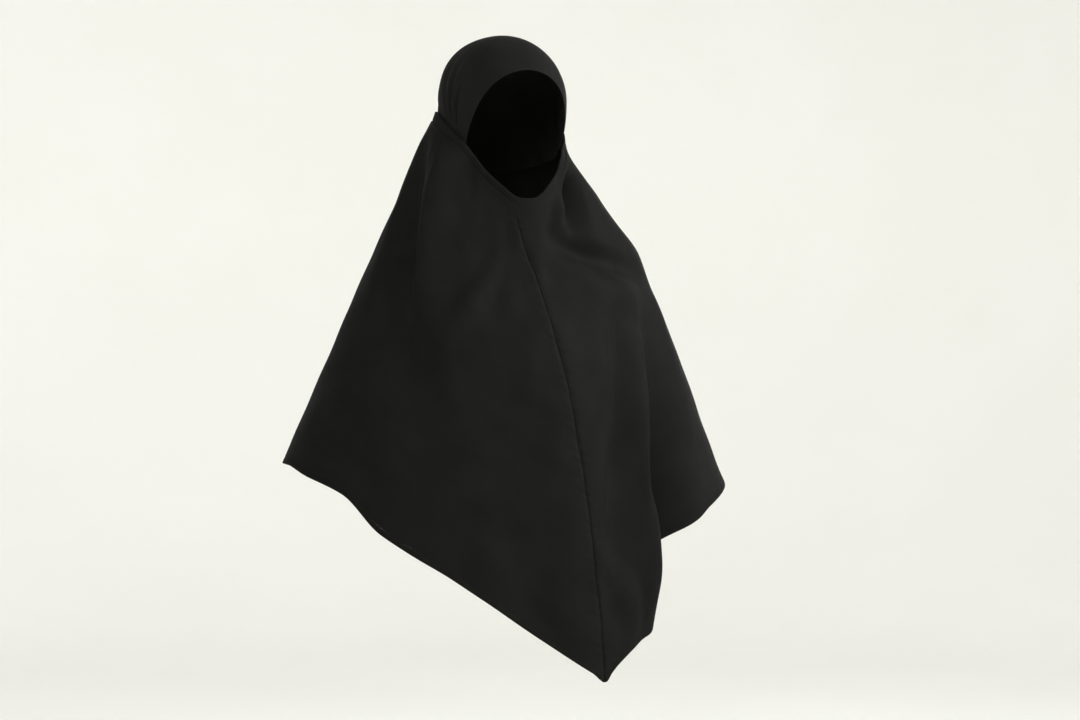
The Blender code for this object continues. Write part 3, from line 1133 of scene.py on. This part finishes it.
@dataclass
class SewnSeam:
    """A seam down the cape, drawn in between its halves."""

    drape: Drape
    seam: Seam
    rows: int = 340

    # Shares of the cloth's wall, and of the gap between its pieces
    strip_thickness: float = 0.6
    strip_clearance: float = 0.25

    def build(self) -> list[bpy.types.Object]:
        """Builds the seam as a slim strip behind the gap between the halves.

        Returns:
            The seam's one piece.
        """
        half = self.drape.seam_width / 2
        top = -self.drape.cloth.wall - self.drape.cloth.gap * self.strip_clearance
        low = top - self.drape.cloth.wall * self.strip_thickness
        across = np.array([-1.0, -0.6, -0.2, 0.2, 0.6, 1.0, 0.9, 0.0, -0.9, -1.0]) * half
        lift = np.array([top, top, top, top, top, top, low, low, low, top])
        length = self.drape.rib_length(np.array([self.seam.value]))[0]
        start = (self.drape.band_width + self.drape.cloth.gap) / length
        fall = np.linspace(start, 1.0, self.rows)[None, :]
        degrees = self.drape.seam_clearance(self.seam, fall, 1.0)
        around = self.seam.value + across[:, None] * degrees
        points = self.drape.lifted(around, fall, np.repeat(lift[:, None], self.rows, axis=1))
        strip = Patch(self.seam.node + "_strip", points).make()
        close_sweep(strip, ring=False)
        return [strip]

    def dress(self, pieces: list[bpy.types.Object], sewn: bpy.types.Material) -> None:
        """Gives the seam the finish of the doubled cloth, and its body."""
        (strip,) = pieces
        dress_piece(strip, sewn, self.seam.node)


@dataclass
class CapeHalf:
    """One half of the cape and the turned hem along its lower edge."""

    drape: Drape
    side: Side
    columns: int = 205
    rows: int = 215
    hem_columns: int = 420
    crowding: float = 0.45
    flat: tuple[float, float] = (0.95, 0.72)
    cut_area: float = 0.36

    def share(self, columns: int) -> Grid:
        """The columns' places round the half, closer together in front."""
        share = np.linspace(0, 1, columns)
        return share + self.crowding * share * (share - 1)

    def around(self, share: Grid, fall: Grid) -> Grid:
        """The columns' angles. The halves meet at the top and part below it, to leave the seam open.

        Args:
            share: The columns' places round the half.
            fall: Share of the fall from the upper edge to the hem, a row for each line of points.

        Returns:
            The angles round from the front seam.
        """
        below = fall[:, :1] * self.drape.rib_length(np.array([0.0]))
        margin = self.drape.cloth.touch + self.drape.cloth.seam_gap * self.drape.seam_opened(below)
        front = self.drape.seam_clearance(Seam.FRONT, fall[:, :1], margin)
        back = 180 - self.drape.seam_clearance(Seam.BACK, fall[:, -1:], margin)
        return self.side.value * (front + (back - front) * share)

    def build_cape(self) -> bpy.types.Object:
        """Builds the cloth from the band to the hem.

        Returns:
            The half's cloth.
        """
        share = self.share(self.columns)
        length = self.drape.rib_length(self.side.value * 180 * share)
        first = (self.drape.band_width + self.drape.cloth.touch) / length
        last = 1 - (self.drape.hem_width + self.drape.cloth.touch) / length
        fall = first + (last - first) * np.linspace(0, 1, self.rows)[:, None]
        points = self.drape.surface(self.around(share, fall), fall)
        if self.side is Side.RIGHT:
            points = points[:, ::-1]
        cape = Patch("cape_cloth_" + self.side.label, points).make()
        add_wall(cape, self.drape.cloth.wall)
        return cape

    def hem_section(self) -> list[tuple[float, float]]:
        """The hem's section, a loop whose last point is its first.

        Returns:
            For each point, the distance above the hem's lower edge and the lift off the cape.
        """
        width = self.drape.hem_width
        thick = self.drape.cloth.doubled
        return [
            (width, -0.0001),
            (0.0094, -0.0003),
            (0.0088, -0.0001),
            (0.0070, 0.0001),
            (0.0030, 0.0001),
            (0.0010, -0.0001),
            (0.0003, -0.0004),
            (0.0001, -thick * 0.5),
            (0.0008, -thick * 0.95),
            (0.0040, -thick),
            (width, -thick * 0.8),
            (width, -0.0001),
        ]

    def build_hem(self) -> bpy.types.Object:
        """Builds the turned hem along the lower edge.

        Returns:
            The hem's fold.
        """
        share = self.share(self.hem_columns)
        length = self.drape.rib_length(self.side.value * 180 * share)
        profile = np.array(self.hem_section())
        fall = 1 - profile[:, :1] / length
        lift = np.repeat(profile[:, 1:], self.hem_columns, axis=1)
        points = self.drape.lifted(self.around(share, fall), fall, lift)
        if self.side is Side.RIGHT:
            points = points[:, ::-1]
        hem = Patch("hem_fold_" + self.side.label, points).make()
        close_sweep(hem, ring=False)
        return hem

    def build(self) -> list[bpy.types.Object]:
        """Builds the cape's half and its hem."""
        return [self.build_cape(), self.build_hem()]

    def dress(
        self,
        pieces: list[bpy.types.Object],
        crepe: bpy.types.Material,
        sewn: bpy.types.Material,
        trim: list[bpy.types.Object],
    ) -> None:
        """Gives both pieces their finish and their body.

        Args:
            pieces: The cape's half and its hem.
            crepe: The finish of the open cloth.
            sewn: The finish of the doubled cloth.
            trim: The seams and bands sewn to this half, beside its hem. Not used.
        """
        cape, hem = pieces
        dress_piece(cape, crepe, "cape_" + self.side.label)
        dress_piece(hem, sewn, "hem_" + self.side.label)


class Lamp(NamedTuple):
    """A soft square light that faces the scarf.

    The azimuth is 0 in front and rises to the wearer's left, the height is above the crown, the reach is
    from the scarf's axis, the size is the square's side and the power is in watts.
    """

    name: str
    azimuth: float
    height: float
    reach: float
    size: float
    power: float


@dataclass
class Studio:
    """A plain pale sweep, soft lights and the camera at the photograph's angle."""

    lamps: tuple[Lamp, ...] = (
        Lamp("key", 56.0, 1.0, 2.8, 1.2, 150.0),
        Lamp("fill", -50.0, 1.6, 2.8, 2.0, 55.0),
        Lamp("rim", 138.0, 0.0, 3.0, 0.9, 9.0),
    )
    sky_tint: Colour = (1.0, 1.0, 0.975)
    sky_strength: float = 0.62
    paint_dark: Colour = (0.93, 0.93, 0.895)
    paint_light: Colour = (0.95, 0.95, 0.92)
    corner_steps: int = 12
    sweep_steps: int = 72
    floor_drop: float = 1.50
    floor_radius: float = 4.6
    corner_radius: float = 1.6
    wall_height: float = 5.0
    camera_yaw: float = -27.0
    camera_distance: float = 3.2
    camera_drop: float = 0.46
    pixels_per_metre: float = 700.0
    image_width: int = 1080
    image_centre_from_crown: float = 38.0
    sensor_width: float = 36.0

    def build_sweep(self) -> bpy.types.Object:
        """Builds the floor and the wall round it as one turned surface.

        Returns:
            The sweep.
        """
        profile = [(0.0, 0.0), (self.floor_radius / 2, 0.0), (self.floor_radius, 0.0)]
        for step in range(1, self.corner_steps + 1):
            turn = math.radians(90 * step / self.corner_steps)
            out = self.floor_radius + self.corner_radius * math.sin(turn)
            profile.append((out, self.corner_radius * (1 - math.cos(turn))))
        profile.append((self.floor_radius + self.corner_radius, self.wall_height))
        curve = bmesh.new()
        points = [curve.verts.new((out, 0.0, up - self.floor_drop)) for out, up in profile]
        edges = [curve.edges.new(pair) for pair in zip(points, points[1:])]
        bmesh.ops.spin(
            curve,
            geom=points + edges,
            cent=(0.0, 0.0, 0.0),
            axis=(0.0, 0.0, 1.0),
            angle=math.tau,
            steps=self.sweep_steps,
            use_merge=True,
            use_duplicate=False,
        )
        bmesh.ops.remove_doubles(curve, verts=curve.verts, dist=1e-5)
        mesh = bpy.data.meshes.new("studio_sweep")
        curve.to_mesh(mesh)
        curve.free()
        mesh.shade_smooth()
        sweep = bpy.data.objects.new("studio_sweep", mesh)
        bpy.context.scene.collection.objects.link(sweep)
        return sweep

    def paint(self) -> bpy.types.Material:
        """Pale matt paint with the faintest unevenness.

        Returns:
            The material.
        """
        bench = Bench("studio_paint")
        place = bench.add("ShaderNodeTexCoord").outputs["Object"]
        cloud = bench.noise(place, scale=1.5, detail=3.0)
        colour = bench.tint(cloud, self.paint_dark, self.paint_light)
        bench.join(colour, bench.shader.inputs["Base Color"])
        bench.shader.inputs["Roughness"].default_value = 0.9
        bench.shader.inputs["Specular IOR Level"].default_value = 0.1
        return bench.material

    def add_light(self, lamp: Lamp) -> None:
        """Adds a light.

        Args:
            lamp: Its place, size and power.
        """
        square = bpy.data.lights.new(lamp.name, "AREA")
        square.shape = "SQUARE"
        square.size = lamp.size
        square.energy = lamp.power
        light = bpy.data.objects.new(lamp.name, square)
        turn = math.radians(lamp.azimuth)
        light.location = (lamp.reach * math.sin(turn), -lamp.reach * math.cos(turn), lamp.height)
        aim = Vector((0.0, 0.0, -self.camera_drop)) - light.location
        light.rotation_euler = aim.to_track_quat("-Z", "Y").to_euler()
        bpy.context.scene.collection.objects.link(light)

    def light(self) -> None:
        """Lights the scarf from the wearer's left, with a fill, a rim from behind and a pale sky."""
        for lamp in self.lamps:
            self.add_light(lamp)
        world = bpy.data.worlds.new("studio_world")
        bpy.context.scene.world = world
        world.use_nodes = True
        background = world.node_tree.nodes["Background"]
        background.inputs["Color"].default_value = (*self.sky_tint, 1.0)
        background.inputs["Strength"].default_value = self.sky_strength
        bpy.context.scene.view_settings.view_transform = "Standard"

    def aim_camera(self) -> None:
        """Sets the level camera, a little off the scarf's axis as the photograph frames it."""
        turn = math.radians(self.camera_yaw)
        right = Vector((math.cos(turn), math.sin(turn), 0.0))
        back = Vector((math.sin(turn), -math.cos(turn), 0.0))
        lens = bpy.data.cameras.new("camera")
        lens.sensor_width = self.sensor_width
        lens.lens = self.pixels_per_metre * self.camera_distance / self.image_width * self.sensor_width
        camera = bpy.data.objects.new("camera", lens)
        aside = self.image_centre_from_crown / self.pixels_per_metre
        camera.location = right * aside + back * self.camera_distance + Vector((0.0, 0.0, -self.camera_drop))
        camera.rotation_euler = (-back).to_track_quat("-Z", "Y").to_euler()
        bpy.context.scene.collection.objects.link(camera)
        bpy.context.scene.camera = camera

    def build(self) -> None:
        """Builds the sweep and sets lights and camera."""
        sweep = self.build_sweep()
        sweep.data.materials.append(self.paint())
        self.light()
        self.aim_camera()


def report(pieces: list[bpy.types.Object]) -> None:
    """Logs each piece with its face count.

    Args:
        pieces: The pieces that a sub-assembly has built.
    """
    for piece in pieces:
        log.info("%s: %d faces", piece.name, len(piece.data.polygons))


def main() -> None:
    """Builds and dresses the scarf, then the studio round it."""
    logging.basicConfig(level=logging.INFO, format="%(name)s: %(message)s")
    cloth = Cloth()
    drape = Drape(front_drop=-cad_box[0][2], cloth=cloth)
    crepe = CrepeFinish().material()
    sewn = CrepeFinish(
        name="sewn_crepe",
        dark=(0.0056, 0.0056, 0.0052),
        light=(0.0078, 0.0078, 0.0072),
        smooth=0.64,
        rough=0.78,
        slub_depth=0.00045,
    ).material()
    # The hood's crepe is the cape's cloth painted lighter: painted light on the hood, not a different cloth.
    hood_painted_light = CrepeFinish(
        name="hood_painted_light_crepe",
        dark=(0.0068, 0.0068, 0.0063),
        light=(0.0096, 0.0096, 0.0089),
    ).material()

    hood = CrownHood(HoodShape(), cloth)
    hood_pieces = hood.build()
    hood.dress(hood_pieces, hood_painted_light)
    report(hood_pieces)

    band = ChinBand(drape)
    band_pieces = band.build()
    band.dress(band_pieces, sewn)
    report(band_pieces)

    seam_pieces: dict[Seam, list[bpy.types.Object]] = {}
    for seam in Seam:
        strip = SewnSeam(drape, seam)
        seam_pieces[seam] = strip.build()
        strip.dress(seam_pieces[seam], sewn)
        report(seam_pieces[seam])

    trims = {
        Side.RIGHT: seam_pieces[Seam.BACK],
        Side.LEFT: seam_pieces[Seam.FRONT] + band_pieces,
    }
    for side in Side:
        half = CapeHalf(drape, side)
        half_pieces = half.build()
        half.dress(half_pieces, crepe, sewn, trims[side])
        report(half_pieces)

    Studio().build()


if __name__ == "__main__":
    main()
